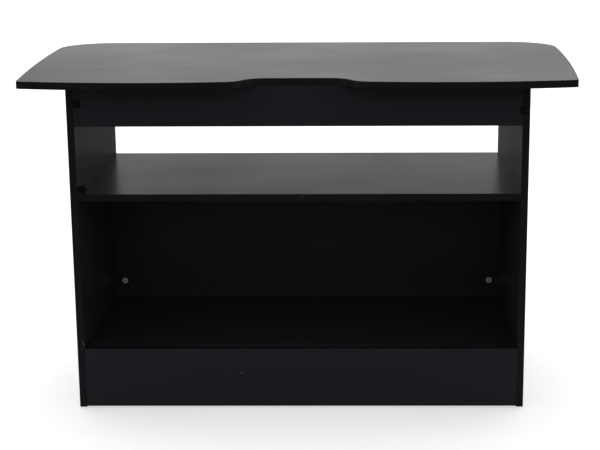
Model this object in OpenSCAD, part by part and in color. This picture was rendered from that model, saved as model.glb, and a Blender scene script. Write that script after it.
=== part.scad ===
// Flat-pack computer desk in black melamine board.
// X runs along the desk, the cable recess is on the -Y side, Z is up and the floor is z = 0.
// The origin is on the floor, under the middle of the desktop.

/* [Overall size] */
// Length of the desktop at its widest, near the far corners
desk_length = 1282; // [1050:1:1560]
// Depth of the desktop from its most proud near edge to its far edge
desk_depth = 782; // [640:1:950]
// Height of the desktop's top face above the floor
desk_height = 750; // [620:1:910]

/* [Boards] */
// Thickness of every melamine board
board_t = 16; // [15:0.5:20]
// Thickness of the edging strip round the desktop
desktop_edging_t = 2; // [0.5:0.1:3]
// Thickness of the edging strips on the other boards
edging_t = 1; // [0.4:0.1:2]

/* [Desktop outline] */
// How much further out each end is at the far corner than at the near corner
end_flare = 46; // [0:1:80]
// How far each end bows outwards from a straight line
end_bow = 7; // [0:0.5:15]
// Radius of the far corners
far_corner_r = 120; // [20:1:160]
// Radius of the near corners
near_corner_r = 8; // [2:0.5:20]
// Radius of the shallow bow on each half of the near edge
near_bow_r = 1230; // [900:10:3000]
// Distance from the middle to the most proud point of each bow
near_bow_x = 326; // [220:1:380]

/* [Cable recess] */
// Length of the straight bottom of the recess
recess_flat = 134; // [80:1:220]
// Length of the recess at its mouth
recess_mouth = 323; // [260:1:420]
// Depth of the recess behind the most proud point of the near edge
recess_depth = 70; // [40:1:100]

/* [Carcass] */
// Overhang of the desktop past each side panel at its widest
end_overhang = 141; // [60:1:200]
// Overhang of the desktop past the near edges of the side panels
near_overhang = 71; // [20:1:120]
// Overhang of the desktop past the far edges of the side panels
far_overhang = 236; // [100:1:300]
// Height of the apron rail under the desktop
apron_h = 89; // [60:1:120]
// Clear height between the fixed shelf and the desktop
shelf_gap = 239; // [180:1:280]
// Height of the bottom shelf's top face above the floor
bottom_shelf_z = 141; // [100:1:200]
// Distance from the far edges of the side panels to the modesty panel
modesty_setback = 68; // [20:1:120]
// Gap between the plinth and the lower edges of the side panels
plinth_lift = 2; // [0:0.5:10]

/* [Cam fittings] */
// Diameter of a cam lock
cam_d = 15; // [12:0.5:18]
// How far the bore for a cam lock goes past the middle of the board
cam_bore_past_mid = 4.5; // [4:0.1:5.5]
// Distance from a board's end to the centre of its cam lock
cam_inset = 25; // [20:0.5:34]
// Diameter of the threaded end of a cam bolt
bolt_thread_d = 6; // [5:0.1:7]
// Length of the threaded end of a cam bolt
bolt_thread_len = 11; // [8:0.5:12]
// Diameter of the hole in a board's end that the cam bolt passes through
bolt_way_d = 8; // [7:0.1:9]
// Distance from a shelf's edge to its nearest cam lock
shelf_cam_setback = 60; // [30:1:100]
// Distance from the modesty panel's upper and lower edges to its cam locks
modesty_cam_setback = 42; // [25:1:80]

/* [Dowels] */
// Diameter of a wooden dowel
dowel_d = 8; // [6:0.5:8]
// Length of a wooden dowel
dowel_len = 30; // [25:1:35]
// Length of a dowel that stands in the face of the mating board
dowel_in_face = 10; // [8:0.5:12]

// Distance from a cam lock at the desktop to the dowel beside it
desktop_pin_gap = 45; // [30:1:80]

/* [Feet and small fittings] */
// Diameter of a floor glide
glide_d = 14; // [10:0.5:15]
// Height of a floor glide
glide_h = 3; // [2:0.5:6]
// Distance from a side panel's near and far edges to its floor glides
glide_setback = 40; // [20:1:80]
// Diameter of the shank of a glide's nail
nail_d = 2; // [1.5:0.1:2.5]
// Length of a glide's nail inside the side panel
nail_len = 12; // [8:1:20]
// Diameter of a round cover cap
cap_d = 18; // [14:0.5:22]
// Height of a round cover cap
cap_h = 2; // [1:0.1:3]
// Distance from the desktop down to the left and the right cover cap
cap_drops = [40, 55]; // [20:1:60]
// Distance from the inner face of the panel in to the left and the right cover cap
cap_insets = [7, -2]; // [-6:1:10]
// Diameter of the round stop in the left corner of the shelf
stop_d = 20; // [10:1:26]
// Thickness of the round stop
stop_t = 8; // [4:0.5:14]
// Distance from the shelf's near edge to the round stop
stop_setback = 2; // [0:0.5:10]

/* [Hidden] */
$fn = 48;
eps = 0.01;

// Clearances between fittings and the holes that hold them
cam_fit = 0.3;     // on the diameter of a cam lock
bolt_fit = 0.1;    // on the diameter of a cam bolt's thread
dowel_fit = 0.1;   // on the diameter of a dowel
dowel_end_gap = 1; // at each end of a dowel
nail_fit = 0.1;    // on the diameter of a glide's nail
cam_sink = 0.2;    // from the board's face down to the cam lock's head

// Details of a cam lock and its bolt
cam_slot_w = 1.8;
cam_slot_len = 8;
cam_slot_depth = 2.5;
cam_mouth_fit = 0.6;
bolt_head_d = 6.4;
bolt_head_len = 3;
bolt_neck_d = 3.6;
bolt_neck_len = 4;
bolt_shank_d = 5;
bolt_collar_d = 7;
bolt_collar_len = 1.5;
chamfer = 0.8;

// Details of a glide, a cover cap and the stop
glide_edge = 0.8;
nail_head_d = 5;
nail_head_t = 0.8;
nail_recess = 1;
cap_rim = 0.7;
stop_edge = 1;
stop_clearance = 0.1;

// Steps along each stretch of the desktop's outline
curve_steps = 24;
recess_steps = 12;
near_corner_steps = 6;

// Heights
desktop_z = desk_height - board_t;
shelf_z = desktop_z - shelf_gap;
apron_z = desktop_z - apron_h;
plinth_z = glide_h + plinth_lift;

// Lengths along X
half_length = desk_length / 2;
near_half = half_length - end_flare;
outer_half = half_length - end_overhang;
inner_half = outer_half - board_t;

// Places along Y
near_y = -desk_depth / 2;
far_y = desk_depth / 2;
panel_near_y = near_y + near_overhang;
panel_far_y = far_y - far_overhang;
modesty_far_y = panel_far_y - modesty_setback;
modesty_near_y = modesty_far_y - board_t;

// Colours
melamine = [0.07, 0.07, 0.075];
edging_colour = [0.03, 0.03, 0.033];
zinc = [0.72, 0.70, 0.66];
steel = [0.62, 0.63, 0.65];
beech = [0.76, 0.6, 0.4];
black_plastic = [0.02, 0.02, 0.022];

// ---- Desktop outline ----

function unit(v) = v / norm(v);

// Y of the near edge's bow at a distance x from the middle
function bow_y(x) = near_y + near_bow_r - sqrt(pow(near_bow_r, 2) - pow(x - near_bow_x, 2));

// Points along the near edge's bow from x = a to x = b
function bow_points(a, b, steps) = [for (i = [0:steps]) let (x = a + (b - a) * i / steps) [x, bow_y(x)]];

// Two equal arcs from a down to b, level at both ends
function s_curve(a, b, steps) =
    let (run = b[0] - a[0], rise = a[1] - b[1])
    let (r = (run * run + rise * rise) / (4 * rise), turn = 2 * atan(rise / run))
    concat(
        [for (i = [0:steps]) let (t = turn * i / steps) a + r * [sin(t), cos(t) - 1]],
        [for (i = [steps - 1:-1:0]) let (t = turn * i / steps) b + r * [-sin(t), 1 - cos(t)]]
    );

// The points of a fillet of radius r at the corner b between a and c
function corner_points(a, b, c, r, steps) =
    let (u = unit(a - b), v = unit(c - b), half = acos(u * v) / 2)
    let (centre = b + unit(u + v) * r / sin(half), first = b + u * r / tan(half) - centre)
    [for (i = [0:steps]) let (t = (180 - 2 * half) * i / steps)
        centre + [first[0] * cos(t) - first[1] * sin(t), first[0] * sin(t) + first[1] * cos(t)]];

// The end of the desktop from the near corner to the start of the far corner
function end_points(from, to, steps) =
    [for (i = [0:steps]) let (s = i / steps)
        [from[0] + (to[0] - from[0]) * s + 4 * end_bow * s * (1 - s), from[1] + (to[1] - from[1]) * s]];

function far_corner_points(steps) =
    [for (i = [0:steps]) let (t = 90 * i / steps)
        [half_length, far_y] - far_corner_r * [1 - cos(t), 1 - sin(t)]];

// Half of the outline, from the middle of the recess round to the middle of the far edge
function half_outline() =
    let (recess_end = [recess_flat / 2, near_y + recess_depth])
    let (lip = [recess_mouth / 2, bow_y(recess_mouth / 2)])
    let (corner = [near_half, bow_y(near_half)])
    let (bow = bow_points(lip[0], near_half - 2 * near_corner_r, curve_steps))
    let (end = end_points(corner, [half_length, far_y - far_corner_r], curve_steps))
    concat(
        s_curve(recess_end, lip, recess_steps),
        [for (i = [1:len(bow) - 1]) bow[i]],
        corner_points(bow[len(bow) - 1], corner, end[1], near_corner_r, near_corner_steps),
        [for (i = [1:len(end) - 2]) end[i]],
        far_corner_points(curve_steps)
    );

function outline() =
    let (half = half_outline(), last = len(half) - 1)
    concat(half, [for (i = [last:-1:0]) [-half[i][0], half[i][1]]]);

// Moves every side of a closed outline inwards by d
function inset(points, d) =
    let (n = len(points))
    [for (i = [0:n - 1])
        let (u = unit(points[i] - points[(i + n - 1) % n]), v = unit(points[(i + 1) % n] - points[i]))
        let (m = unit([-u[1] - v[1], u[0] + v[0]]))
        points[i] + m * d / (m * [-u[1], u[0]])];

// ---- Cam fittings and dowels ----

cam_bore_depth = board_t / 2 + cam_bore_past_mid;

// Each is drawn at a board's end: the joint is at x = 0, the board lies on the -X side with its
// middle plane at z = 0, and the cam lock's head is in its +Z face.

module cam_lock() {
    top = board_t / 2 - cam_sink;
    translate([-cam_inset, 0, 0]) difference() {
        translate([0, 0, board_t / 2 - cam_bore_depth])
            cylinder(d = cam_d - cam_fit, h = cam_bore_depth - cam_sink);
        for (turn = [0, 90]) rotate(turn)
            translate([-cam_slot_len / 2, -cam_slot_w / 2, top - cam_slot_depth])
                cube([cam_slot_len, cam_slot_w, cam_slot_depth + 1]);
        rotate([0, 90, 0]) cylinder(d = bolt_head_d + cam_mouth_fit, h = cam_d);
        sphere(d = bolt_head_d + cam_mouth_fit);
    }
}

module cam_bolt() {
    head_x = -cam_inset - bolt_head_len / 2;
    neck_x = head_x + bolt_head_len;
    shank_x = neck_x + bolt_neck_len;
    rotate([0, 90, 0]) rotate_extrude() polygon([
        [0, head_x], [bolt_head_d / 2 - chamfer, head_x], [bolt_head_d / 2, head_x + chamfer],
        [bolt_head_d / 2, neck_x], [bolt_neck_d / 2, neck_x], [bolt_neck_d / 2, shank_x],
        [bolt_shank_d / 2, shank_x], [bolt_shank_d / 2, -bolt_collar_len],
        [bolt_collar_d / 2, -bolt_collar_len], [bolt_collar_d / 2, 0], [bolt_thread_d / 2, 0],
        [bolt_thread_d / 2, bolt_thread_len - chamfer], [bolt_thread_d / 2 - chamfer, bolt_thread_len],
        [0, bolt_thread_len]
    ]);
}

module dowel() {
    r = dowel_d / 2;
    rotate([0, 90, 0]) translate([0, 0, dowel_in_face - dowel_len]) rotate_extrude() polygon([
        [0, 0], [r - chamfer, 0], [r, chamfer],
        [r, dowel_len - chamfer], [r - chamfer, dowel_len], [0, dowel_len]
    ]);
}

// What a cam lock and its bolt need cut from the board they draw in
module cam_cut() {
    translate([-cam_inset, 0, board_t / 2 - cam_bore_depth]) cylinder(d = cam_d, h = cam_bore_depth + 1);
    translate([-cam_inset, 0, 0]) rotate([0, 90, 0]) cylinder(d = bolt_way_d, h = cam_inset + 1);
}

// What the bolt's thread needs cut from the face of the mating board
module bolt_cut() {
    translate([-1, 0, 0]) rotate([0, 90, 0])
        cylinder(d = bolt_thread_d + bolt_fit, h = bolt_thread_len + 1);
}

module dowel_end_cut() {
    depth = dowel_len - dowel_in_face + dowel_end_gap;
    translate([-depth, 0, 0]) rotate([0, 90, 0]) cylinder(d = dowel_d + dowel_fit, h = depth + 1);
}

module dowel_face_cut() {
    translate([-1, 0, 0]) rotate([0, 90, 0])
        cylinder(d = dowel_d + dowel_fit, h = dowel_in_face + dowel_end_gap + 1);
}

// Puts children at the end of a board that butts on a side panel.
// side is 1 for right and -1 for left; turn is 90 for a cam head on the near face, -90 for one
// on the far face and 180 for one on the underside.
module at_panel(side, y, z, turn) {
    translate([side * inner_half, y, z]) mirror([side < 0 ? 1 : 0, 0, 0]) rotate([turn, 0, 0]) children();
}

// Puts children at the upper end of a side panel, with the cam head on its inner face
module at_desktop(side, y) {
    translate([side * (inner_half + board_t / 2), y, desktop_z])
        mirror([side < 0 ? 1 : 0, 0, 0]) rotate([0, -90, 0]) children();
}

// ---- Where the fittings go ----

shelf_mid_z = shelf_z - board_t / 2;
bottom_mid_z = bottom_shelf_z - board_t / 2;
modesty_mid_y = modesty_near_y + board_t / 2;
modesty_top_z = shelf_z - board_t;
bottom_near_y = panel_near_y + board_t;
rail_mid_y = panel_near_y + board_t / 2;
rail_cam_share = 0.33; // of the height of the apron rail, and of the plinth below the bottom shelf
rail_pin_share = 0.7;

// Each place on a side panel is [y, z, turn]
shelf_cams = [for (y = [panel_near_y + shelf_cam_setback, panel_far_y - shelf_cam_setback])
    [y, shelf_mid_z, 180]];
shelf_pins = [[(panel_near_y + panel_far_y) / 2, shelf_mid_z, 0]];
bottom_cams = [for (y = [bottom_near_y + shelf_cam_setback, modesty_far_y - shelf_cam_setback])
    [y, bottom_mid_z, 180]];
bottom_pins = [[(bottom_near_y + modesty_far_y) / 2, bottom_mid_z, 0]];
modesty_cams = [for (z = [bottom_shelf_z + modesty_cam_setback, modesty_top_z - modesty_cam_setback])
    [modesty_mid_y, z, 90]];
modesty_pins = [[modesty_mid_y, (bottom_shelf_z + modesty_top_z) / 2, 0]];
apron_cams = [[rail_mid_y, apron_z + apron_h * rail_cam_share, -90]];
apron_pins = [[rail_mid_y, apron_z + apron_h * rail_pin_share, 0]];
plinth_cams = [[rail_mid_y, plinth_z + (bottom_mid_z - plinth_z) * rail_cam_share, -90]];
plinth_pins = [[rail_mid_y, plinth_z + (bottom_mid_z - plinth_z) * rail_pin_share, 0]];

// Places along a side panel's upper end
desktop_cam_ys = [panel_near_y + board_t + shelf_cam_setback, panel_far_y - shelf_cam_setback];
desktop_pin_ys = [desktop_cam_ys[0] + desktop_pin_gap, desktop_cam_ys[1] - desktop_pin_gap];

module at_places(places) {
    for (side = [-1, 1], p = places) at_panel(side, p[0], p[1], p[2]) children();
}

module at_desktop_places(ys) {
    for (side = [-1, 1], y = ys) at_desktop(side, y) children();
}

module cam_locks(places) {
    color(zinc) at_places(places) cam_lock();
}

module cam_bolts(places) {
    color(steel) at_places(places) cam_bolt();
}

module dowels(places) {
    color(beech) at_places(places) dowel();
}

module desktop_cam_locks() {
    color(zinc) at_desktop_places(desktop_cam_ys) cam_lock();
}

module desktop_cam_bolts() {
    color(steel) at_desktop_places(desktop_cam_ys) cam_bolt();
}

module desktop_dowels() {
    color(beech) at_desktop_places(desktop_pin_ys) dowel();
}

// ---- Boards ----

module desktop() {
    color(melamine) difference() {
        translate([0, 0, desktop_z]) linear_extrude(board_t) polygon(inset(outline(), desktop_edging_t));
        at_desktop_places(desktop_cam_ys) bolt_cut();
        at_desktop_places(desktop_pin_ys) dowel_face_cut();
    }
}

module desktop_edging() {
    color(edging_colour) translate([0, 0, desktop_z]) linear_extrude(board_t) difference() {
        polygon(outline());
        polygon(inset(outline(), desktop_edging_t));
    }
}

module side_panel(side) {
    x = side > 0 ? inner_half : -outer_half;
    color(melamine) difference() {
        translate([x, panel_near_y + edging_t, glide_h])
            cube([board_t, panel_far_y - panel_near_y - 2 * edging_t, desktop_z - glide_h]);
        for (y = desktop_cam_ys) at_desktop(side, y) cam_cut();
        for (y = desktop_pin_ys) at_desktop(side, y) dowel_end_cut();
        for (p = concat(shelf_cams, bottom_cams, modesty_cams, apron_cams, plinth_cams))
            at_panel(side, p[0], p[1], p[2]) bolt_cut();
        for (p = concat(shelf_pins, bottom_pins, modesty_pins, apron_pins, plinth_pins))
            at_panel(side, p[0], p[1], p[2]) dowel_face_cut();
        for (y = glide_ys) translate([side * (inner_half + board_t / 2), y, glide_h - 1])
            cylinder(d = nail_d + nail_fit, h = nail_len + 1, $fn = 24);
    }
}

module panel_edging(side) {
    x = side > 0 ? inner_half : -outer_half;
    color(edging_colour) for (y = [panel_near_y, panel_far_y - edging_t])
        translate([x, y, glide_h]) cube([board_t, edging_t, desktop_z - glide_h]);
}

// A board between the side panels, from near to far in Y and from low to high in Z
module cross_board(near, far, low, high) {
    translate([-inner_half, near, low]) cube([2 * inner_half, far - near, high - low]);
}

module apron_rail() {
    color(melamine) difference() {
        cross_board(panel_near_y, panel_near_y + board_t, apron_z + edging_t, desktop_z);
        at_places(apron_cams) cam_cut();
        at_places(apron_pins) dowel_end_cut();
    }
}

module apron_edging() {
    color(edging_colour) cross_board(panel_near_y, panel_near_y + board_t, apron_z, apron_z + edging_t);
}

module fixed_shelf() {
    color(melamine) difference() {
        cross_board(panel_near_y + edging_t, panel_far_y - edging_t, shelf_z - board_t, shelf_z);
        at_places(shelf_cams) cam_cut();
        at_places(shelf_pins) dowel_end_cut();
    }
}

module shelf_edging() {
    color(edging_colour) for (y = [panel_near_y, panel_far_y - edging_t])
        cross_board(y, y + edging_t, shelf_z - board_t, shelf_z);
}

module modesty_panel() {
    color(melamine) difference() {
        cross_board(modesty_near_y, modesty_far_y, bottom_shelf_z, modesty_top_z);
        at_places(modesty_cams) cam_cut();
        at_places(modesty_pins) dowel_end_cut();
    }
}

module bottom_shelf() {
    color(melamine) difference() {
        cross_board(bottom_near_y, modesty_far_y - edging_t, bottom_shelf_z - board_t, bottom_shelf_z);
        at_places(bottom_cams) cam_cut();
        at_places(bottom_pins) dowel_end_cut();
    }
}

module bottom_shelf_edging() {
    color(edging_colour)
        cross_board(modesty_far_y - edging_t, modesty_far_y, bottom_shelf_z - board_t, bottom_shelf_z);
}

module plinth_board() {
    color(melamine) difference() {
        cross_board(panel_near_y, bottom_near_y, plinth_z, bottom_shelf_z - edging_t);
        at_places(plinth_cams) cam_cut();
        at_places(plinth_pins) dowel_end_cut();
    }
}

module plinth_edging() {
    color(edging_colour)
        cross_board(panel_near_y, bottom_near_y, bottom_shelf_z - edging_t, bottom_shelf_z);
}

// ---- Feet and small fittings ----

glide_ys = [panel_near_y + glide_setback, panel_far_y - glide_setback];

module at_glides(side) {
    for (y = glide_ys) translate([side * (inner_half + board_t / 2), y, 0]) children();
}

module floor_glides(side) {
    r = glide_d / 2;
    color(black_plastic) at_glides(side) difference() {
        rotate_extrude() polygon([[0, 0], [r - glide_edge, 0], [r, glide_edge], [r, glide_h], [0, glide_h]]);
        translate([0, 0, -1]) cylinder(d = nail_head_d + nail_fit, h = 1 + nail_recess, $fn = 32);
        cylinder(d = nail_d + nail_fit, h = glide_h + 1, $fn = 24);
    }
}

module glide_nails() {
    color(steel) for (side = [-1, 1]) at_glides(side) {
        translate([0, 0, nail_recess - nail_head_t]) cylinder(d = nail_head_d, h = nail_head_t, $fn = 32);
        translate([0, 0, nail_recess - eps])
            cylinder(d = nail_d, h = glide_h + nail_len - nail_recess, $fn = 24);
    }
}

// A low round cap on the near face, over the joint between a side panel and the apron rail
module joint_cover_caps() {
    r = cap_d / 2;
    color(black_plastic) for (i = [0, 1]) {
        side = i == 0 ? -1 : 1;
        translate([side * (inner_half - cap_insets[i]), panel_near_y, desktop_z - cap_drops[i]])
            rotate([90, 0, 0]) rotate_extrude()
                polygon([[0, 0], [r, 0], [r, cap_h - cap_rim], [r - cap_rim, cap_h], [0, cap_h]]);
    }
}

// A round stop that stands on the shelf against the left side panel
module shelf_corner_stop() {
    r = stop_d / 2;
    color(black_plastic)
        translate([-inner_half + r + stop_clearance, panel_near_y + stop_setback, shelf_z + r])
            rotate([-90, 0, 0]) rotate_extrude() polygon([
                [0, 0], [r - stop_edge, 0], [r, stop_edge],
                [r, stop_t - stop_edge], [r - stop_edge, stop_t], [0, stop_t]
            ]);
}

desktop();
desktop_edging();
side_panel(-1);  // left_side_panel
side_panel(1);  // right_side_panel
panel_edging(-1);  // left_panel_edging
panel_edging(1);  // right_panel_edging
apron_rail();
apron_edging();
fixed_shelf();
shelf_edging();
modesty_panel();
bottom_shelf();
bottom_shelf_edging();
plinth_board();
plinth_edging();
desktop_cam_locks();
desktop_cam_bolts();
desktop_dowels();
cam_locks(apron_cams);  // apron_cam_locks
cam_bolts(apron_cams);  // apron_cam_bolts
dowels(apron_pins);  // apron_dowels
cam_locks(shelf_cams);  // shelf_cam_locks
cam_bolts(shelf_cams);  // shelf_cam_bolts
dowels(shelf_pins);  // shelf_dowels
cam_locks(modesty_cams);  // modesty_cam_locks
cam_bolts(modesty_cams);  // modesty_cam_bolts
dowels(modesty_pins);  // modesty_dowels
cam_locks(bottom_cams);  // bottom_shelf_cam_locks
cam_bolts(bottom_cams);  // bottom_shelf_cam_bolts
dowels(bottom_pins);  // bottom_shelf_dowels
cam_locks(plinth_cams);  // plinth_cam_locks
cam_bolts(plinth_cams);  // plinth_cam_bolts
dowels(plinth_pins);  // plinth_dowels
floor_glides(-1);  // left_floor_glides
floor_glides(1);  // right_floor_glides
glide_nails();
joint_cover_caps();
shelf_corner_stop();
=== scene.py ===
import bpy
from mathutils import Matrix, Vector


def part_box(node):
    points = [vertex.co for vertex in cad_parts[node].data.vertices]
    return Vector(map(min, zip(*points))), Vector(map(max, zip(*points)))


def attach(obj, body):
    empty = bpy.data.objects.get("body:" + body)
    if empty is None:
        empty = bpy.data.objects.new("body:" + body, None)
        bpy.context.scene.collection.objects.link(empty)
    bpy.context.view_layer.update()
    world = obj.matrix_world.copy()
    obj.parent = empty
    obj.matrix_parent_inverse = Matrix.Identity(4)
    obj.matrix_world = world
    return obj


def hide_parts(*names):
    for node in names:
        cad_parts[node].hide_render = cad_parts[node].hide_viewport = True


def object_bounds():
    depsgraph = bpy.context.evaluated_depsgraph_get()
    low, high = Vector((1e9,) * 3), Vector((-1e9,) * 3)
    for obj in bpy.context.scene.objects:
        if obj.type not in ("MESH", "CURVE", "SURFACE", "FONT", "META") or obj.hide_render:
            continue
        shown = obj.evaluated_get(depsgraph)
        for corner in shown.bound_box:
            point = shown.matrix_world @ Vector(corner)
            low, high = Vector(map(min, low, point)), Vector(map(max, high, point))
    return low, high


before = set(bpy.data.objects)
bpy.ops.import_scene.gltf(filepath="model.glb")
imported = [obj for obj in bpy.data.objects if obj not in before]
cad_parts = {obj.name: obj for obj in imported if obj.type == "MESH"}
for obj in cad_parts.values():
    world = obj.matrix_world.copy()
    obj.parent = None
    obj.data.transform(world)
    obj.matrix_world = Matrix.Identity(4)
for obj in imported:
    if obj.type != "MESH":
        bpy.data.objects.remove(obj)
cadBox = [list(corner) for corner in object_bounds()]

from math import cos, pi, radians, sin, tau

import bmesh
import bpy
from mathutils import Matrix, Vector

mm = 0.001
scene = bpy.context.scene
scene.view_settings.view_transform = "Standard"


def addNode(tree, kind, inputs=None, **settings):
    # an input is a value, or another node's output to link from
    made = tree.nodes.new(kind)
    for name, value in settings.items():
        setattr(made, name, value)
    for name, value in (inputs or {}).items():
        if isinstance(value, bpy.types.NodeSocket):
            tree.links.new(value, made.inputs[name])
        else:
            made.inputs[name].default_value = value
    return made


def calc(tree, operation, first, second=0.0, clamp=False):
    made = addNode(tree, "ShaderNodeMath", {0: first, 1: second}, operation=operation, use_clamp=clamp)
    return made.outputs[0]


def spread(tree, value, fromLow, fromHigh, toLow=0.0, toHigh=1.0):
    # one range of values stretched over another, and clamped to it
    limits = {"Value": value, "From Min": fromLow, "From Max": fromHigh, "To Min": toLow, "To Max": toHigh}
    return addNode(tree, "ShaderNodeMapRange", limits).outputs["Result"]


def blendColours(tree, factor, first, second):
    mix = addNode(tree, "ShaderNodeMix", data_type="RGBA")
    for socket, value in zip((mix.inputs[0], mix.inputs[6], mix.inputs[7]), (factor, first, second)):
        if isinstance(value, bpy.types.NodeSocket):
            tree.links.new(value, socket)
        else:
            socket.default_value = value
    return mix.outputs[2]


def objectPlace(tree):
    return addNode(tree, "ShaderNodeTexCoord").outputs["Object"]


def stretched(tree, place, scale, turn=(0, 0, 0), shift=(0, 0, 0)):
    inputs = {"Vector": place, "Scale": scale, "Rotation": turn, "Location": shift}
    return addNode(tree, "ShaderNodeMapping", inputs).outputs[0]


def noise(tree, place, scale, detail=2.0, roughness=0.5, warp=0.0):
    inputs = {"Vector": place, "Scale": scale, "Detail": detail, "Roughness": roughness, "Distortion": warp}
    return addNode(tree, "ShaderNodeTexNoise", inputs).outputs["Fac"]


def newFinish(name, **constants):
    finish = bpy.data.materials.new(name)
    finish.use_nodes = True
    shader = finish.node_tree.nodes["Principled BSDF"]
    for socket, value in constants.items():
        shader.inputs[socket.replace("_", " ")].default_value = value
    return finish, finish.node_tree, shader


def addBump(tree, shader, height, strength, distance):
    bump = addNode(tree, "ShaderNodeBump", {"Height": height, "Strength": strength, "Distance": distance})
    tree.links.new(bump.outputs[0], shader.inputs["Normal"])


def dustSpecks(tree, place, scale, share, size):
    # small round specks in a random share of the cells
    cells = addNode(tree, "ShaderNodeTexVoronoi", {"Vector": place, "Scale": scale})
    chosen = addNode(tree, "ShaderNodeSeparateColor", {"Color": cells.outputs["Color"]}).outputs[0]
    near = spread(tree, cells.outputs["Distance"], size, size * 0.5)
    return calc(tree, "MULTIPLY", near, calc(tree, "LESS_THAN", chosen, share))


def scuffMark(tree, place, mark):
    # one soft-edged mark, an ellipsoid of space broken up by noise
    offset = addNode(tree, "ShaderNodeVectorMath", {0: place, 1: mark["at"]}, operation="SUBTRACT")
    turned = stretched(tree, offset.outputs[0], (1, 1, 1), mark.get("turn", (0, 0, 0)))
    scaled = addNode(tree, "ShaderNodeVectorMath", {0: turned, 1: mark["size"]}, operation="DIVIDE")
    reach = addNode(tree, "ShaderNodeVectorMath", {0: scaled.outputs[0]}, operation="LENGTH")
    ragged = calc(tree, "ADD", reach.outputs["Value"], calc(tree, "MULTIPLY", noise(tree, place, 700.0), 0.8))
    return calc(tree, "MULTIPLY", spread(tree, ragged, 1.25, 0.85), mark["strength"])


def addScuffs(tree, place, base, marks, tone):
    for mark in marks:
        base = blendColours(tree, scuffMark(tree, place, mark), base, tone)
    return base


print("Finishes")


def melamineFinish(name, look):
    finish, tree, shader = newFinish(name, IOR=look["ior"])
    place = objectPlace(tree)
    pearl = noise(tree, place, look["pearlScale"], 2.0)      # the pressed texture, a millimetre across
    cloud = noise(tree, place, look["cloudScale"], 3.0)      # handling marks
    wiped = noise(tree, stretched(tree, place, look["wipe"]), 1.0, 3.0, 0.6)
    dust = dustSpecks(tree, place, look["dustScale"], look["dust"], look["dustSize"])
    base = blendColours(tree, spread(tree, pearl, 0.35, 0.65), look["dark"], look["light"])
    base = blendColours(tree, calc(tree, "MULTIPLY", dust, 0.6), base, look["lint"])
    base = addScuffs(tree, place, base, look["scuffs"], look["lint"])
    tree.links.new(base, shader.inputs["Base Color"])
    rough = spread(tree, cloud, 0.35, 0.65, *look["roughness"])
    rough = calc(tree, "ADD", rough, spread(tree, wiped, 0.4, 0.75, 0.0, look["wipeDulls"]))
    rough = calc(tree, "ADD", rough, calc(tree, "MULTIPLY", dust, 0.3), clamp=True)
    tree.links.new(rough, shader.inputs["Roughness"])
    addBump(tree, shader, pearl, 0.2, look["pearlDepth"])
    return finish


boardLook = {
    "ior": 1.2,
    "dark": (0.028, 0.0297, 0.032, 1), "light": (0.037, 0.0392, 0.0423, 1),
    "lint": (0.42, 0.42, 0.4, 1),
    "pearlScale": 950.0, "pearlDepth": 0.03 * mm, "cloudScale": 3.2,
    "roughness": (0.285, 0.335), "wipe": (5.0, 22.0, 22.0), "wipeDulls": 0.02,
    "dust": 0.05, "dustScale": 38.0, "dustSize": 0.035,
    "scuffs": [
        # a smudge on the right panel's inner face, a fleck on the plinth and one on the bottom shelf
        {"at": (0.4845, -0.06, 0.585), "size": (0.004, 0.022, 0.012), "turn": (radians(20), 0, 0),
         "strength": 0.1},
        {"at": (-0.133, -0.32, 0.083), "size": (0.0017, 0.004, 0.0017), "strength": 1.0},
        {"at": (0.118, -0.17, 0.141), "size": (0.0022, 0.003, 0.004), "strength": 0.8},
    ],
}
topLook = dict(
    boardLook, roughness=(0.285, 0.32), wipe=(3.0, 16.0, 16.0), wipeDulls=0.025, dust=0.09,
    scuffs=[{"at": (0.01, 0.1, 0.75), "size": (0.0022, 0.004, 0.004), "strength": 0.9}])
blackMelamine = melamineFinish("blackMelamine", boardLook)
desktopMelamine = melamineFinish("desktopMelamine", topLook)


def edgingFinish(name, look):
    finish, tree, shader = newFinish(name, IOR=look["ior"])
    place = objectPlace(tree)
    grain = noise(tree, place, look["grainScale"], 2.0)
    drawn = noise(tree, stretched(tree, place, look["drawn"]), 1.0, 3.0, 0.6)   # the trimming cutter's lines
    rubbed = addNode(tree, "ShaderNodeAttribute", attribute_name="arris").outputs["Fac"]
    wear = noise(tree, place, look["wearScale"], 4.0, 0.65)
    worn = calc(tree, "MULTIPLY", rubbed, spread(tree, wear, 0.5, 0.68))
    nicks = dustSpecks(tree, place, look["nickScale"], look["nicks"], look["nickSize"])
    nicks = calc(tree, "MULTIPLY", rubbed, nicks)
    base = blendColours(tree, grain, look["dark"], look["light"])
    base = blendColours(tree, calc(tree, "MULTIPLY", worn, 0.55), base, look["worn"])
    base = blendColours(tree, calc(tree, "MULTIPLY", nicks, 0.7), base, look["nick"])
    base = addScuffs(tree, place, base, look["scuffs"], look["nick"])
    tree.links.new(base, shader.inputs["Base Color"])
    rough = spread(tree, drawn, 0.35, 0.7, *look["roughness"])
    rough = calc(tree, "ADD", rough, calc(tree, "MULTIPLY", worn, 0.1), clamp=True)
    tree.links.new(rough, shader.inputs["Roughness"])
    addBump(tree, shader, calc(tree, "ADD", grain, drawn), 0.2, look["grainDepth"])
    return finish


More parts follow.
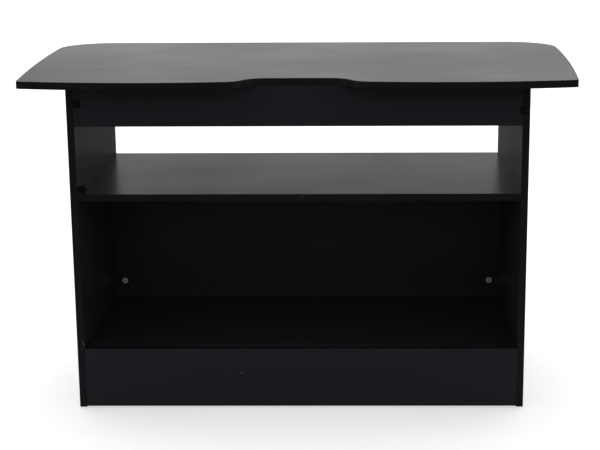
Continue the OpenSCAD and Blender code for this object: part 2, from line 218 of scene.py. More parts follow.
edgingLook = {
    "ior": 1.25,
    "dark": (0.0115, 0.0123, 0.0132, 1), "light": (0.018, 0.0191, 0.0206, 1),
    "worn": (0.026, 0.0277, 0.0277, 1), "nick": (0.2, 0.2, 0.19, 1),
    "roughness": (0.3, 0.42), "drawn": (1.5, 260.0, 260.0), "grainScale": 620.0, "grainDepth": 0.03 * mm,
    "wearScale": 55.0, "nicks": 0.16, "nickScale": 26.0, "nickSize": 0.05,
    "scuffs": [
        # a scratch on the shelf's near edge and a chip at the foot of the left panel
        {"at": (0.008, -0.3205, 0.491), "size": (0.013, 0.004, 0.0007), "turn": (0, radians(27), 0),
         "strength": 0.75},
        {"at": (-0.4855, -0.3205, 0.152), "size": (0.0018, 0.004, 0.009), "turn": (0, radians(20), 0),
         "strength": 0.7},
    ],
}
blackEdging = edgingFinish("blackEdging", edgingLook)

chipboardLook = {
    "chipScale": 420.0, "chipShape": (0.6, 0.6, 1.6), "chipTurn": (0.3, 0.2, 0.4), "depth": 0.2 * mm,
    "dark": (0.36, 0.22, 0.11, 1), "light": (0.62, 0.45, 0.27, 1), "gap": (0.16, 0.09, 0.045, 1),
}


def chipboardFinish(name, look):
    finish, tree, shader = newFinish(name, Roughness=0.85)
    flat = stretched(tree, objectPlace(tree), look["chipShape"], look["chipTurn"])
    chips = addNode(tree, "ShaderNodeTexVoronoi", {"Vector": flat, "Scale": look["chipScale"]})
    tone = addNode(tree, "ShaderNodeSeparateColor", {"Color": chips.outputs["Color"]}).outputs[0]
    gaps = spread(tree, chips.outputs["Distance"], 0.35, 0.75)
    base = blendColours(tree, tone, look["dark"], look["light"])
    base = blendColours(tree, gaps, base, look["gap"])
    tree.links.new(base, shader.inputs["Base Color"])
    addBump(tree, shader, calc(tree, "SUBTRACT", tone, gaps), 0.6, look["depth"])
    return finish


zincLook = {
    "metallic": 0.2,                                # a dull casting, more pale grey than mirror
    # the dark colour inside the screwdriver cross is painted shade, not a colour of the metal
    "stained": (0.88, 0.86, 0.81, 1), "clean": (0.97, 0.95, 0.9, 1), "paintedCrossShade": (0.16, 0.15, 0.13, 1),
    "roughness": (0.4, 0.56), "castScale": 1500.0, "stainScale": 240.0, "depth": 0.04 * mm,
}


def zincFinish(name, look):
    finish, tree, shader = newFinish(name, Metallic=look["metallic"])
    place = objectPlace(tree)
    cast = noise(tree, place, look["castScale"], 3.0)
    stain = noise(tree, place, look["stainScale"], 2.0)
    recess = addNode(tree, "ShaderNodeAttribute", attribute_name="recess").outputs["Fac"]
    base = blendColours(tree, stain, look["stained"], look["clean"])
    # painted shade: the faces of the cross's recess are darkened towards that dark colour
    base = blendColours(tree, calc(tree, "MULTIPLY", recess, 0.5), base, look["paintedCrossShade"])
    tree.links.new(base, shader.inputs["Base Color"])
    tree.links.new(spread(tree, cast, 0.3, 0.7, *look["roughness"]), shader.inputs["Roughness"])
    addBump(tree, shader, cast, 0.4, look["depth"])
    return finish


steelLook = {
    "blue": (0.56, 0.58, 0.62, 1), "yellow": (0.7, 0.68, 0.6, 1), "roughness": (0.2, 0.34),
    "patchScale": 180.0, "fineScale": 2200.0, "depth": 0.02 * mm,
}


def platedSteelFinish(name, look):
    finish, tree, shader = newFinish(name, Metallic=1.0)
    place = objectPlace(tree)
    patches = noise(tree, place, look["patchScale"], 2.0, 0.5, 0.6)
    fine = noise(tree, place, look["fineScale"], 2.0)
    tree.links.new(blendColours(tree, patches, look["blue"], look["yellow"]), shader.inputs["Base Color"])
    tree.links.new(spread(tree, fine, 0.3, 0.7, *look["roughness"]), shader.inputs["Roughness"])
    addBump(tree, shader, fine, 0.2, look["depth"])
    return finish


# the fibres run along the dowels, which lie along X, or stand up under the desktop
lyingGrain = {"fibre": (60.0, 900.0, 900.0), "flecks": (300.0, 2600.0, 2600.0)}
standingGrain = {"fibre": (900.0, 900.0, 60.0), "flecks": (2600.0, 2600.0, 300.0)}
beechTones = {"dark": (0.5, 0.31, 0.16, 1), "light": (0.7, 0.5, 0.3, 1), "fleck": (0.33, 0.18, 0.09, 1)}


def beechFinish(name, grain, tones):
    finish, tree, shader = newFinish(name, Roughness=0.62)
    place = objectPlace(tree)
    fibre = noise(tree, stretched(tree, place, grain["fibre"]), 1.0, 3.0)
    flecks = noise(tree, stretched(tree, place, grain["flecks"]), 1.0, 1.0)
    base = blendColours(tree, fibre, tones["dark"], tones["light"])
    base = blendColours(tree, spread(tree, flecks, 0.6, 0.75, 0.0, 0.6), base, tones["fleck"])
    tree.links.new(base, shader.inputs["Base Color"])
    addBump(tree, shader, fibre, 0.4, 0.08 * mm)
    return finish


plasticLook = {
    "ior": 1.25, "dark": (0.0012, 0.0022, 0.002, 1), "light": (0.0026, 0.0042, 0.0038, 1),
    "roughness": (0.5, 0.62), "sparkScale": 1700.0, "bloomScale": 130.0, "depth": 0.04 * mm,
}


def mouldedFinish(name, look):
    finish, tree, shader = newFinish(name, IOR=look["ior"])
    place = objectPlace(tree)
    sparked = noise(tree, place, look["sparkScale"], 2.0)       # the texture of a spark-eroded mould
    bloom = noise(tree, place, look["bloomScale"], 3.0)
    tree.links.new(blendColours(tree, bloom, look["dark"], look["light"]), shader.inputs["Base Color"])
    tree.links.new(spread(tree, sparked, 0.3, 0.7, *look["roughness"]), shader.inputs["Roughness"])
    addBump(tree, shader, sparked, 0.5, look["depth"])
    return finish


chipboardCore = chipboardFinish("chipboardCore", chipboardLook)
zincCasting = zincFinish("zincCasting", zincLook)
platedSteel = platedSteelFinish("platedSteel", steelLook)
lyingBeech = beechFinish("lyingBeech", lyingGrain, beechTones)
standingBeech = beechFinish("standingBeech", standingGrain, beechTones)
mouldedPlastic = mouldedFinish("mouldedPlastic", plasticLook)


sameCorner, sameFlat = 0.005 * mm, radians(0.04)


def mergedNode(node):
    # the node's solids with their triangles joined into whole faces
    bm = bmesh.new()
    bm.from_mesh(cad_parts[node].data)
    bmesh.ops.remove_doubles(bm, verts=bm.verts, dist=sameCorner)
    bmesh.ops.dissolve_limit(bm, angle_limit=sameFlat, verts=bm.verts, edges=bm.edges)
    bm.normal_update()
    return bm


def roundArrises(bm, edges, radius, steps):
    rounded = bmesh.ops.bevel(bm, geom=edges, offset=radius, segments=steps, profile=0.5, affect="EDGES",
                              clamp_overlap=True)
    return set(rounded["faces"])


def linkedObject(name, mesh):
    made = bpy.data.objects.new(name, mesh)
    scene.collection.objects.link(made)
    return made


def smoothDraft(bm, name, sharpAngle=32):
    # an object of the shape, smooth but for the edges past an angle in degrees
    for face in bm.faces:
        face.smooth = True
    for edge in bm.edges:
        edge.smooth = len(edge.link_faces) == 2 and edge.calc_face_angle(0) < radians(sharpAngle)
    mesh = bpy.data.meshes.new(name)
    bm.to_mesh(mesh)
    bm.free()
    return linkedObject(name, mesh)


def finishPiece(bm, name, finishes, node):
    # the weighted normals keep the large faces flat beside their rounded arrises
    draft = smoothDraft(bm, name + "_draft")
    for finish in finishes:
        draft.data.materials.append(finish)
    draft.modifiers.new("Normals", "WEIGHTED_NORMAL").keep_sharp = True
    plainPiece(draft, name, node)


def plainPiece(draft, name, node):
    # the draft's evaluated mesh becomes the piece, with no modifier left on it
    depsgraph = bpy.context.evaluated_depsgraph_get()
    mesh = bpy.data.meshes.new_from_object(draft.evaluated_get(depsgraph), depsgraph=depsgraph)
    bpy.data.objects.remove(draft)
    mesh.name = name
    piece = linkedObject(name, mesh)
    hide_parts(node)
    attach(piece, "root")


print("Boards")

boards = {
    # the thin axis runs through the board; on a sealed axis the narrow faces are black too
    "desktop": {"thinAxis": 2, "finish": desktopMelamine},
    "left_side_panel": {"thinAxis": 0},
    "right_side_panel": {"thinAxis": 0},
    "apron_rail": {"thinAxis": 1, "sealedAxis": 2},
    "fixed_shelf": {"thinAxis": 2},
    "modesty_panel": {"thinAxis": 1},
    "bottom_shelf": {"thinAxis": 2},
    "plinth_board": {"thinAxis": 1, "sealedAxis": 2},
}
boardEase = {"radius": 0.2 * mm, "steps": 2, "sharperThan": radians(40)}    # the facing's cut edges, filed
onFace = 0.02 * mm                                                          # how near counts as on a face


def onBox(point, low, high, axis):
    return min(abs(point[axis] - low[axis]), abs(point[axis] - high[axis])) < onFace


def facesOut(face, low, high):
    # away from the middle of the board, where a bore's wall faces the bore's own middle
    return face.normal.dot(face.calc_center_median() - (low + high) / 2) > 0


def isBoardArris(edge, low, high, thinAxis):
    # an edge between a melamine face and the board's outside, not one of a bore
    if len(edge.link_faces) != 2 or edge.calc_face_angle(0) < boardEase["sharperThan"]:
        return False
    if not all(onBox(v.co, low, high, thinAxis) for v in edge.verts):
        return False
    side = min(edge.link_faces, key=lambda face: abs(face.normal[thinAxis]))
    return facesOut(side, low, high)


def outsideCarcass(point):
    low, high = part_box("left_side_panel")
    return abs(point.x) > -low.x or point.y < low.y or point.y > high.y


def isOutline(edge, node, low, high, thinAxis):
    ends = [v.co for v in edge.verts]
    if node != "desktop":       # a straight board's outline lies on its box
        others = [axis for axis in range(3) if axis != thinAxis]
        return any(all(onBox(end, low, high, axis) for end in ends) for axis in others)
    onTop = all(abs(end.z - high.z) < onFace for end in ends)
    return onTop or all(abs(end.z - low.z) < onFace and outsideCarcass(end) for end in ends)


def makeBoard(node, board):
    thinAxis = board["thinAxis"]
    facedAxes = (thinAxis, board.get("sealedAxis", thinAxis))
    low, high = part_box(node)
    bm = mergedNode(node)
    arrises = [edge for edge in bm.edges
               if isBoardArris(edge, low, high, thinAxis) and isOutline(edge, node, low, high, thinAxis)]
    eased = roundArrises(bm, arrises, boardEase["radius"], boardEase["steps"])
    for face in bm.faces:
        faced = any(abs(face.normal[axis]) > 0.99 for axis in facedAxes)
        face.material_index = 0 if face in eased or faced else 1
    finishes = [board.get("finish", blackMelamine), chipboardCore]
    finishPiece(bm, node + "_board", finishes, node)


for node, board in boards.items():
    makeBoard(node, board)

print("Edging strips")

edgings = {
    # "along" is the strip's long axis, and "out" the axis it faces on, one way or as a pair both ways
    "desktop_edging": {"radius": 1.5 * mm, "steps": 4},         # all round, so with no axes of its own
    "left_panel_edging": {"along": 2, "out": 1},
    "right_panel_edging": {"along": 2, "out": 1},
    "apron_edging": {"along": 0, "out": 2, "faces": "low"},
    "shelf_edging": {"along": 0, "out": 1},
    "bottom_shelf_edging": {"along": 0, "out": 1, "faces": "high"},
    "plinth_edging": {"along": 0, "out": 2, "faces": "high"},
}
stripEase = {"radius": 0.8 * mm, "steps": 4}
shortestStrip = 10 * mm


def planPlace(vert):
    return round(vert.co.x, 5), round(vert.co.y, 5)


def desktopStripArrises(bm):
    # the level edges on the strip's outer side, the ones that don't also belong to the board
    desktop = mergedNode("desktop")
    shared = {planPlace(vert) for vert in desktop.verts}
    desktop.free()
    return [edge for edge in bm.edges if abs(edge.verts[0].co.z - edge.verts[1].co.z) < onFace / 2
            and not any(planPlace(vert) in shared for vert in edge.verts)]


def straightStripArrises(bm, node, edging):
    low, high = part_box(node)
    out, along = edging["out"], edging["along"]
    faces = {"low": [low], "high": [high]}.get(edging.get("faces"), [low, high])
    found = []
    for edge in bm.edges:
        a, b = (vert.co for vert in edge.verts)
        lengthways = abs(a[along] - b[along]) > shortestStrip
        outside = any(max(abs(a[out] - face[out]), abs(b[out] - face[out])) < onFace for face in faces)
        if lengthways and outside:
            found.append(edge)
    return found


def makeEdging(node, edging):
    bm = mergedNode(node)
    ease = {**stripEase, **edging}
    edges = straightStripArrises(bm, node, edging) if "along" in edging else desktopStripArrises(bm)
    rounded = roundArrises(bm, edges, ease["radius"], ease["steps"])
    arris = bm.faces.layers.float.new("arris")
    for face in bm.faces:
        face[arris] = 1.0 if face in rounded else 0.0
    finishPiece(bm, node + "_strip", [blackEdging], node)


for node, edging in edgings.items():
    makeEdging(node, edging)

print("Fittings")


def solidBoxes(node):
    # the lowest and highest corner of each separate solid, in a steady order
    bm = mergedNode(node)
    left, boxes = set(bm.verts), []
    while left:
        shell, queue = set(), [left.pop()]
        while queue:
            vert = queue.pop()
            shell.add(vert)
            near = {edge.other_vert(vert) for edge in vert.link_edges} & left
            left -= near
            queue.extend(near)
        places = [v.co for v in shell]
        boxes.append((Vector(min(p[i] for p in places) for i in range(3)),
                      Vector(max(p[i] for p in places) for i in range(3))))
    bm.free()
    return sorted(boxes, key=lambda box: [round(c, 4) for c in box[0] + box[1]])


def turnedMesh(bm, profile, sides, closed=False, shape=None):
    # a profile of (radius, height) points turned about Z; shape may change a radius from angle to angle
    rings = []
    for radius, height in profile:
        if radius == 0:
            rings.append([bm.verts.new((0, 0, height))])
            continue
        ring = []
        for i in range(sides):
            angle = tau * i / sides
            r = shape(radius, height, angle) if shape else radius
            ring.append(bm.verts.new((r * cos(angle), r * sin(angle), height)))
        rings.append(ring)
    for a, b in zip(rings, rings[1:] + rings[:1] if closed else rings[1:]):
        for i in range(sides):
            j = (i + 1) % sides
            corners = [a[i % len(a)], a[j % len(a)], b[j % len(b)], b[i % len(b)]]
            bm.faces.new(list(dict.fromkeys(corners)))      # a triangle where one ring is a single point
    return rings


def fittingDraft(bm, name, sharpAngle=32):
    bmesh.ops.recalc_face_normals(bm, faces=bm.faces)
    return smoothDraft(bm, name, sharpAngle)


camLock = {
    "radius": 7.35 * mm, "height": 12.3 * mm,
    "head": 4.3 * mm, "foot": 1.1 * mm, "rim": 0.35 * mm, "sides": 48,
    "crossLength": 8.0 * mm, "crossWidth": 1.8 * mm, "crossDepth": 2.5 * mm, "crossTaper": 0.55,
    "mouth": radians(84), "wallAtMouth": 1.3 * mm, "wallAtEnd": 3.2 * mm, "wallSteps": 30,
    "arrow": 1.3 * mm, "arrowProud": 0.15 * mm,
}


def crossPoints(bm, length, width, height):
    side, arm = width / 2, length / 2
    corner = [(arm, -side), (arm, side), (side, side)]
    points = []
    for turn in range(4):
        c, s = cos(turn * pi / 2), sin(turn * pi / 2)
        points += [bm.verts.new((x * c - y * s, x * s + y * c, height)) for x, y in corner]
    return points


def loopEdges(bm, verts):
    return [bm.edges.get((a, b)) or bm.edges.new((a, b)) for a, b in zip(verts, verts[1:] + verts[:1])]


def addLockHead(bm, size, top):
    # a disc with a tapered cross for the screwdriver
    r, rim, taper = size["radius"], size["rim"], size["crossTaper"]
    length, width, under = size["crossLength"], size["crossWidth"], top - size["head"]
    rings = turnedMesh(bm, [(r - rim, top), (r, top - rim), (r, under), (0, under)], size["sides"])
    cross = crossPoints(bm, length, width, top)
    floor = crossPoints(bm, length * taper, width * taper, top - size["crossDepth"])
    bmesh.ops.triangle_fill(bm, use_beauty=True, edges=loopEdges(bm, rings[0]) + loopEdges(bm, cross))
    pocket = [bm.faces.new((cross[i - 1], cross[i], floor[i], floor[i - 1])) for i in range(len(cross))]
    pocket.append(bm.faces.new(floor))
    # the cross's faces are marked so the zinc finish can paint shade into them
    recess = bm.faces.layers.float["recess"]
    for face in pocket:
        face[recess] = 1.0


def addLockFoot(bm, size, bottom):
    r, rim, upper = size["radius"], size["rim"], bottom + size["foot"]
    profile = [(0, bottom), (r - rim, bottom), (r, bottom + rim), (r, upper), (0, upper)]
    turnedMesh(bm, profile, size["sides"])


def addLockWall(bm, size, top, bottom):
    # the spiral wall that draws the bolt in, let a little into the foot and the head
    letIn = size["foot"] * 0.1
    low, high = bottom + size["foot"] - letIn, top - size["head"] + letIn
    r, thin, thick = size["radius"], size["wallAtMouth"], size["wallAtEnd"]
    columns = []
    for i in range(size["wallSteps"] + 1):
        share = i / size["wallSteps"]
        angle = size["mouth"] / 2 + (tau - size["mouth"]) * share
        inner = r - thin - (thick - thin) * share
        columns.append([bm.verts.new((q * cos(angle), q * sin(angle), z))
                        for q, z in ((r, low), (r, high), (inner, high), (inner, low))])
    for a, b in zip(columns, columns[1:]):
        for k in range(4):
            bm.faces.new((a[k], b[k], b[(k + 1) % 4], a[(k + 1) % 4]))
    bm.faces.new(columns[0])
    bm.faces.new(columns[-1][::-1])


def addLockArrow(bm, size, top):
    # shows where the mouth is
    tip, side = size["radius"] - size["rim"] * 1.5, size["arrow"] / 2
    flat = [(tip, 0), (tip - size["arrow"], side), (tip - size["arrow"], -side)]
    heights = (top - size["rim"], top + size["arrowProud"])
    lower, upper = ([bm.verts.new((x, y, z)) for x, y in flat] for z in heights)
    for i in range(3):
        bm.faces.new((lower[i - 1], lower[i], upper[i], upper[i - 1]))
    bm.faces.new(lower)
    bm.faces.new(upper)


def camLockDraft(size):
    bm = bmesh.new()
    bm.faces.layers.float.new("recess")
    top, bottom = size["height"] / 2 - size["arrowProud"], -size["height"] / 2
    addLockHead(bm, size, top)
    addLockFoot(bm, size, bottom)
    addLockWall(bm, size, top, bottom)
    addLockArrow(bm, size, top)
    return fittingDraft(bm, "camLock")


camBolt = {
    "length": 37.5 * mm, "headRadius": 3.2 * mm, "head": 3.0 * mm, "neckRadius": 1.8 * mm, "neck": 4.0 * mm,
    "shankRadius": 2.5 * mm, "collarRadius": 3.5 * mm, "collar": 1.5 * mm, "thread": 11.0 * mm,
    "threadRadius": 3.0 * mm, "pitch": 1.9 * mm, "threadDepth": 0.75 * mm, "chamfer": 0.8 * mm, "sides": 20,
    "ringsPerTurn": 8,
}


def camBoltDraft(size):
    half, c = size["length"] / 2, size["chamfer"]
    head, neck, shank = size["headRadius"], size["neckRadius"], size["shankRadius"]
    collar, thread = size["collarRadius"], size["threadRadius"]
    neckLow = -half + size["head"]
    neckHigh = neckLow + size["neck"]
    threadLow = half - size["thread"]
    collarLow = threadLow - size["collar"]
    profile = [(0, -half), (head - c, -half), (head, -half + c), (head, neckLow - c / 2),
               (neck, neckLow), (neck, neckHigh), (shank, neckHigh + c / 2), (shank, collarLow),
               (collar, collarLow), (collar, threadLow), (thread, threadLow)]
    rings = int(size["ringsPerTurn"] * size["thread"] / size["pitch"])
    profile += [(thread, threadLow + size["thread"] * i / rings) for i in range(1, rings)]
    profile += [(thread - c, half), (0, half)]

    def threaded(radius, height, angle):
        if height <= threadLow or height >= half:
            return radius
        turn = ((height - threadLow) / size["pitch"] - angle / tau) % 1.0
        ridge = max(0.0, 1.0 - abs(turn - 0.5) * 4.0)              # a sharp ridge with a flat valley
        fade = min(1.0, (height - threadLow) / size["pitch"], (half - height) / size["pitch"])
        return radius - size["threadDepth"] * (1.0 - ridge * fade)

    bm = bmesh.new()
    turnedMesh(bm, profile, size["sides"], shape=threaded)
    return fittingDraft(bm, "camBolt", sharpAngle=50)


dowel = {
    "length": 30.0 * mm, "radius": 4.0 * mm, "chamfer": 0.8 * mm, "flutes": 18, "fluteDepth": 0.22 * mm,
}


def dowelDraft(size):
    half, r, c = size["length"] / 2, size["radius"], size["chamfer"]
    profile = [(0, -half), (r - c, -half), (r, -half + c), (r, half - c), (r - c, half), (0, half)]

    def fluted(radius, height, angle):
        wave = 0.5 - 0.5 * cos(angle * size["flutes"])
        return radius - size["fluteDepth"] * wave * wave

    bm = bmesh.new()
    turnedMesh(bm, profile, size["flutes"] * 4, shape=fluted)
    return fittingDraft(bm, "dowel", sharpAngle=40)


def quarterArc(r, z, radius, steps, start):
    # points of a profile on a quarter turn about (r, z), anticlockwise from an angle
    angles = [start + pi / 2 * i / steps for i in range(steps + 1)]
    return [(r + radius * cos(angle), z + radius * sin(angle)) for angle in angles]


glide = {
    "radius": 7.0 * mm, "height": 3.0 * mm, "edge": 0.8 * mm, "hole": 1.05 * mm, "recess": 2.55 * mm,
    "recessDepth": 1.0 * mm, "sides": 40, "arcSteps": 4,
}


def glideDraft(size):
    half, r, edge = size["height"] / 2, size["radius"], size["edge"]
    arc = quarterArc(r - edge, -half + edge, edge, size["arcSteps"], -pi / 2)
    seat = -half + size["recessDepth"]                      # where the nail's head sits
    profile = [(size["hole"], seat), (size["recess"], seat), (size["recess"], -half), *arc,
               (r, half), (size["hole"], half)]
    bm = bmesh.new()
    turnedMesh(bm, profile, size["sides"], closed=True)
    return fittingDraft(bm, "glide")


nail = {
    "length": 14.8 * mm, "headRadius": 2.5 * mm, "head": 0.8 * mm, "radius": 1.0 * mm, "point": 2.4 * mm,
    "sides": 20,
}


def nailDraft(size):
    half, r, wide, head = size["length"] / 2, size["radius"], size["headRadius"], size["head"]
    profile = [(0, -half), (wide * 0.6, -half), (wide, -half + head * 0.45), (wide, -half + head * 0.75),
               (wide * 0.94, -half + head), (r, -half + head), (r, half - size["point"]),
               (r * 0.25, half - size["point"] * 0.1), (0, half)]
    bm = bmesh.new()
    turnedMesh(bm, profile, size["sides"])
    return fittingDraft(bm, "nail")


coverCap = {
    "radius": 9.0 * mm, "height": 2.0 * mm, "lip": 0.5 * mm, "crown": 0.35 * mm, "sides": 56, "arcSteps": 5,
}


def coverCapDraft(size):
    half, r, rise = size["height"] / 2, size["radius"], size["height"] - size["lip"] - size["crown"]
    shoulder = quarterArc(r - rise, -half + size["lip"], rise, size["arcSteps"], 0)
    dome = [(share * (r - rise), half - size["crown"] * share ** 2) for share in (0.8, 0.55, 0.3)]
    profile = [(0, -half), (r, -half), *shoulder, *dome, (0, half)]
    bm = bmesh.new()
    turnedMesh(bm, profile, size["sides"])
    return fittingDraft(bm, "coverCap", sharpAngle=40)


cornerStop = {
    "radius": 10.0 * mm, "height": 8.0 * mm, "edge": 1.2 * mm, "hole": 3.2 * mm, "holeDepth": 3.5 * mm,
    "holeChamfer": 0.6 * mm, "sides": 56, "arcSteps": 5,
}


def cornerStopDraft(size):
    half, r, edge, hole = size["height"] / 2, size["radius"], size["edge"], size["hole"]
    lower = quarterArc(r - edge, -half + edge, edge, size["arcSteps"], -pi / 2)
    upper = quarterArc(r - edge, half - edge, edge, size["arcSteps"], 0)
    chamfer, floor = size["holeChamfer"], half - size["holeDepth"]
    rim = [(hole + chamfer, half), (hole, half - chamfer), (hole * 0.9, floor), (0, floor)]
    bm = bmesh.new()
    turnedMesh(bm, [(0, -half), *lower, *upper, *rim], size["sides"])
    return fittingDraft(bm, "cornerStop")


fittingInputs = {
    "Places": "NodeSocketGeometry", "Fitting": "NodeSocketObject", "Slack turn": "NodeSocketFloat",
    "Seed": "NodeSocketInt", "Finish": "NodeSocketMaterial",
}


def pointVector(tree, name):
    named = addNode(tree, "GeometryNodeInputNamedAttribute", {"Name": name}, data_type="FLOAT_VECTOR")
    return named.outputs["Attribute"]


def randomTurn(tree, most, seed):
    least = addNode(tree, "ShaderNodeMath", {0: most, 1: -1.0}, operation="MULTIPLY").outputs[0]
    turn = addNode(tree, "FunctionNodeRandomValue", {"Seed": seed}, data_type="FLOAT")
    lowest, highest = [socket for socket in turn.inputs if socket.enabled and socket.name in ("Min", "Max")]
    tree.links.new(least, lowest)
    tree.links.new(most, highest)
    return [socket for socket in turn.outputs if socket.enabled][0]


def buildFittingTree():
    # puts a fitting at each point, its Z along "facing", its X towards "mouth", turned a little at random
    tree = bpy.data.node_groups.new("fittingsAtPlaces", "GeometryNodeTree")
    sockets = {name: tree.interface.new_socket(name, in_out="INPUT", socket_type=kind).identifier
               for name, kind in fittingInputs.items()}
    tree.interface.new_socket("Fittings", in_out="OUTPUT", socket_type="NodeSocketGeometry")
    given = tree.nodes.new("NodeGroupInput").outputs
    facing, mouth = pointVector(tree, "facing"), pointVector(tree, "mouth")
    upright = addNode(tree, "FunctionNodeAlignRotationToVector", {"Vector": facing}, axis="Z").outputs[0]
    aimed = addNode(tree, "FunctionNodeAlignRotationToVector", {"Rotation": upright, "Vector": mouth},
                    axis="X", pivot_axis="Z").outputs[0]
    turn = randomTurn(tree, given["Slack turn"], given["Seed"])
    twist = addNode(tree, "FunctionNodeAxisAngleToRotation", {"Axis": (0, 0, 1), "Angle": turn}).outputs[0]
    turned = addNode(tree, "FunctionNodeRotateRotation", {"Rotation": aimed, "Rotate By": twist},
                     rotation_space="LOCAL").outputs[0]
    shape = addNode(tree, "GeometryNodeObjectInfo", {"Object": given["Fitting"]}).outputs["Geometry"]
    placed = addNode(tree, "GeometryNodeInstanceOnPoints",
                     {"Points": given["Places"], "Instance": shape, "Rotation": turned}).outputs[0]
    real = addNode(tree, "GeometryNodeRealizeInstances", {"Geometry": placed}).outputs[0]
    dressed = addNode(tree, "GeometryNodeSetMaterial", {"Geometry": real, "Material": given["Finish"]})
    tree.links.new(dressed.outputs[0], tree.nodes.new("NodeGroupOutput").inputs[0])
    return tree, sockets


fittingTree, fittingSockets = buildFittingTree()


def placeFittings(node, draft, finish, facing, mouth, slackTurn=0.0, seed=0):
    # one fitting at the middle of each solid of the node
    centres = [(low + high) / 2 for low, high in solidBoxes(node)]
    mesh = bpy.data.meshes.new(node + "_places")
    mesh.from_pydata(centres, [], [])
    for key, way in (("facing", facing), ("mouth", mouth)):
        layer = mesh.attributes.new(key, "FLOAT_VECTOR", "POINT")
        for i, centre in enumerate(centres):
            layer.data[i].vector = way(centre)
    places = linkedObject(node + "_places", mesh)
    modifier = places.modifiers.new("Fittings", "NODES")
    modifier.node_group = fittingTree
    given = {"Fitting": draft, "Slack turn": slackTurn, "Seed": seed, "Finish": finish}
    for name, value in given.items():
        modifier[fittingSockets[name]] = value
    plainPiece(places, node + "_set", node)


def outwards(centre):
    return Vector((1 if centre.x > 0 else -1, 0, 0))


def inwards(centre):
    return -outwards(centre)


def always(*way):
    return lambda centre: Vector(way)


joints = {
    # which way the cam heads face, and which way the bolts and dowels point
    "desktop": {"heads": inwards, "into": always(0, 0, 1), "beech": standingBeech},
    "apron": {"heads": always(0, 1, 0), "into": outwards},
    "shelf": {"heads": always(0, 0, -1), "into": outwards},
    "modesty": {"heads": always(0, -1, 0), "into": outwards},
    "bottom_shelf": {"heads": always(0, 0, -1), "into": outwards},
    "plinth": {"heads": always(0, 1, 0), "into": outwards},
}
lockSlack = radians(16)     # how far the locks differ in how tight they were turned
lockDraft, boltDraft, pinDraft = camLockDraft(camLock), camBoltDraft(camBolt), dowelDraft(dowel)
for number, (board, joint) in enumerate(joints.items()):
    heads, into, beech = joint["heads"], joint["into"], joint.get("beech", lyingBeech)
    locks, bolts, pins = board + "_cam_locks", board + "_cam_bolts", board + "_dowels"
    placeFittings(locks, lockDraft, zincCasting, heads, into, lockSlack, number + 3)
    placeFittings(bolts, boltDraft, platedSteel, into, heads, pi, number + 11)
    placeFittings(pins, pinDraft, beech, into, heads, pi, number + 23)

up, nearSide, sideways = always(0, 0, 1), always(0, -1, 0), always(1, 0, 0)
footDraft, tackDraft = glideDraft(glide), nailDraft(nail)
for side in ("left", "right"):
    placeFittings(side + "_floor_glides", footDraft, mouldedPlastic, up, sideways)
placeFittings("glide_nails", tackDraft, platedSteel, up, sideways, pi, 5)
capDraft, stopDraft = coverCapDraft(coverCap), cornerStopDraft(cornerStop)
placeFittings("joint_cover_caps", capDraft, mouldedPlastic, nearSide, sideways)
placeFittings("shelf_corner_stop", stopDraft, mouldedPlastic, nearSide, sideways)
for draft in (lockDraft, boltDraft, pinDraft, footDraft, tackDraft, capDraft, stopDraft):
    bpy.data.objects.remove(draft)

print("Stage")

studioFloor = {
    "size": 60.0, "glow": 0.58, "mottleScale": 1.2,
    "tone": (0.8, 0.8, 0.8, 1), "mottle": (0.815, 0.815, 0.815, 1),
    # what the desk's own surfaces see of it, painted light and shade: brightest at its foot, dimmer a step
    # away on the near side, dark far off and behind
    "foot": (0.52, 0.55, 0.58, 1), "step": (0.36, 0.385, 0.41, 1),
    "far": (0.04, 0.045, 0.05, 1), "behind": (0.18, 0.18, 0.18, 1),
    "footFrom": (-0.64, -0.34), "farFrom": (-1.9, -1.1), "behindFrom": (0.6, 1.6),      # places along Y
}


def paleFloorFinish(name, look):
    finish, tree, shader = newFinish(name, Roughness=0.9, Specular_IOR_Level=0.1)
    shader.inputs["Emission Color"].default_value = (1, 1, 1, 1)
    place = objectPlace(tree)
    pale = blendColours(tree, noise(tree, place, look["mottleScale"]), look["tone"], look["mottle"])
    across = addNode(tree, "ShaderNodeSeparateXYZ", {"Vector": place}).outputs["Y"]
    # painted light and shade for all but camera rays: a pool of light at the desk's foot, fading to dark far
    # off and dim behind
    paintedBounceLight = blendColours(tree, spread(tree, across, *look["footFrom"]), look["step"], look["foot"])
    paintedBounceLight = blendColours(tree, spread(tree, across, *look["farFrom"]), look["far"], paintedBounceLight)
    paintedBounceLight = blendColours(tree, spread(tree, across, *look["behindFrom"]), paintedBounceLight, look["behind"])
    direct = addNode(tree, "ShaderNodeLightPath").outputs["Is Camera Ray"]
    tree.links.new(blendColours(tree, direct, paintedBounceLight, pale), shader.inputs["Base Color"])
    tree.links.new(calc(tree, "MULTIPLY", direct, look["glow"]), shader.inputs["Emission Strength"])
    fromBelow = addNode(tree, "ShaderNodeNewGeometry").outputs["Backfacing"]    # clear when seen from below
    clear = addNode(tree, "ShaderNodeBsdfTransparent").outputs[0]
    oneSided = addNode(tree, "ShaderNodeMixShader", {0: fromBelow, 1: shader.outputs[0], 2: clear})
    tree.links.new(oneSided.outputs[0], tree.nodes["Material Output"].inputs["Surface"])
    return finish


def makeFloor(look):
    mesh = bpy.data.meshes.new("studio_floor")
    reach = look["size"] / 2
    mesh.from_pydata([(-reach, -reach, 0), (reach, -reach, 0), (reach, reach, 0), (-reach, reach, 0)], [],
                     [(0, 1, 2, 3)])
    mesh.materials.append(paleFloorFinish("paleFloor", look))
    linkedObject("studio_floor", mesh)


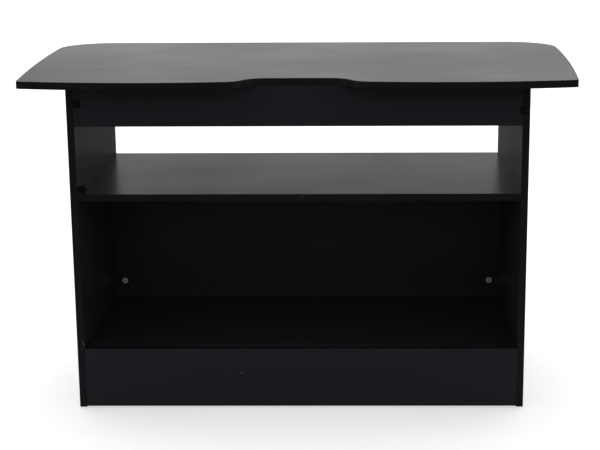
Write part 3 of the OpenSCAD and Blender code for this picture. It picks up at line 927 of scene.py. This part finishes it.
room = {
    # the shares of a direction along X, Y and Z say where each light begins and where it is full
    "background": (1, 1, 1, 1),
    "backdropLow": (1.78, 1.77, 1.82, 1), "backdropHigh": (0.4, 0.4, 0.42, 1), "backdropRise": (0.07, 0.21),
    "backdropMiddle": -0.03, "backdropHalf": (0.33, 0.21), "backdropAhead": (0.5, 0.8),
    "sides": (0.06, 0.06, 0.063, 1),
    "sideLights": (0.6, 0.61, 0.63, 1), "sideReach": (0.5, 0.8), "sideRise": (0.75, 0.5),
    "frontLow": (0.17, 0.18, 0.19, 1), "frontMiddle": (0.5, 0.54, 0.59, 1),
    "frontHigh": (0.1, 0.107, 0.117, 1),
    "frontRise": (0.15, 0.4), "frontFall": (0.5, 0.75), "frontFrom": (0.1, -0.4),
}


def makeRoom(look):
    # a bright backdrop straight behind the desk, dim sides with a light in each, and a soft light in front
    world = bpy.data.worlds.new("studio")
    scene.world = world
    world.use_nodes = True
    tree = world.node_tree
    ahead = addNode(tree, "ShaderNodeTexCoord").outputs["Generated"]
    way = addNode(tree, "ShaderNodeSeparateXYZ", {"Vector": ahead}).outputs
    rise = spread(tree, way["Z"], *look["backdropRise"])
    backdrop = blendColours(tree, rise, look["backdropLow"], look["backdropHigh"])
    offMiddle = calc(tree, "ABSOLUTE", calc(tree, "SUBTRACT", way["X"], look["backdropMiddle"]))
    onBackdrop = calc(tree, "MULTIPLY", spread(tree, offMiddle, *look["backdropHalf"]),
                      spread(tree, way["Y"], *look["backdropAhead"]))
    middle, high = spread(tree, way["Z"], *look["frontRise"]), spread(tree, way["Z"], *look["frontFall"])
    front = blendColours(tree, middle, look["frontLow"], look["frontMiddle"])
    front = blendColours(tree, high, front, look["frontHigh"])
    around = blendColours(tree, spread(tree, way["Y"], *look["frontFrom"]), look["sides"], front)
    onSides = calc(tree, "MULTIPLY", spread(tree, calc(tree, "ABSOLUTE", way["X"]), *look["sideReach"]),
                   spread(tree, way["Z"], *look["sideRise"]))
    around = blendColours(tree, onSides, around, look["sideLights"])
    around = blendColours(tree, onBackdrop, around, backdrop)
    seen = addNode(tree, "ShaderNodeLightPath").outputs["Is Camera Ray"]
    colour = blendColours(tree, seen, around, look["background"])
    tree.links.new(colour, tree.nodes["Background"].inputs["Color"])


overhead = {"energy": 2.1, "angle": radians(60), "tilt": radians(-20)}


def makeOverhead(look):
    lamp = bpy.data.lights.new("overhead", "SUN")
    lamp.energy, lamp.angle = look["energy"], look["angle"]
    linkedObject("overhead", lamp).rotation_euler = (look["tilt"], 0, 0)


view = {
    "fromEdge": 2.689, "aside": 0.125, "height": 1.123,      # from the near edge, the middle and the floor
    "turn": radians(0.63), "tilt": radians(11.8), "roll": radians(-0.26),
    "lens": 77.9, "sensor": 36.0, "shift": (-0.07, -0.09),
}


def makeCamera(look):
    data = bpy.data.cameras.new("camera")
    data.lens, data.sensor_width = look["lens"], look["sensor"]
    data.shift_x, data.shift_y = look["shift"]
    camera = linkedObject("camera", data)
    nearEdge = cadBox[0][1]
    stand = Matrix.Translation((look["aside"], nearEdge - look["fromEdge"], look["height"]))
    turn, roll = Matrix.Rotation(look["turn"], 4, "Z"), Matrix.Rotation(look["roll"], 4, "Z")
    camera.matrix_world = stand @ turn @ Matrix.Rotation(pi / 2 - look["tilt"], 4, "X") @ roll
    scene.camera = camera


makeFloor(studioFloor)
makeRoom(room)
makeOverhead(overhead)
makeCamera(view)
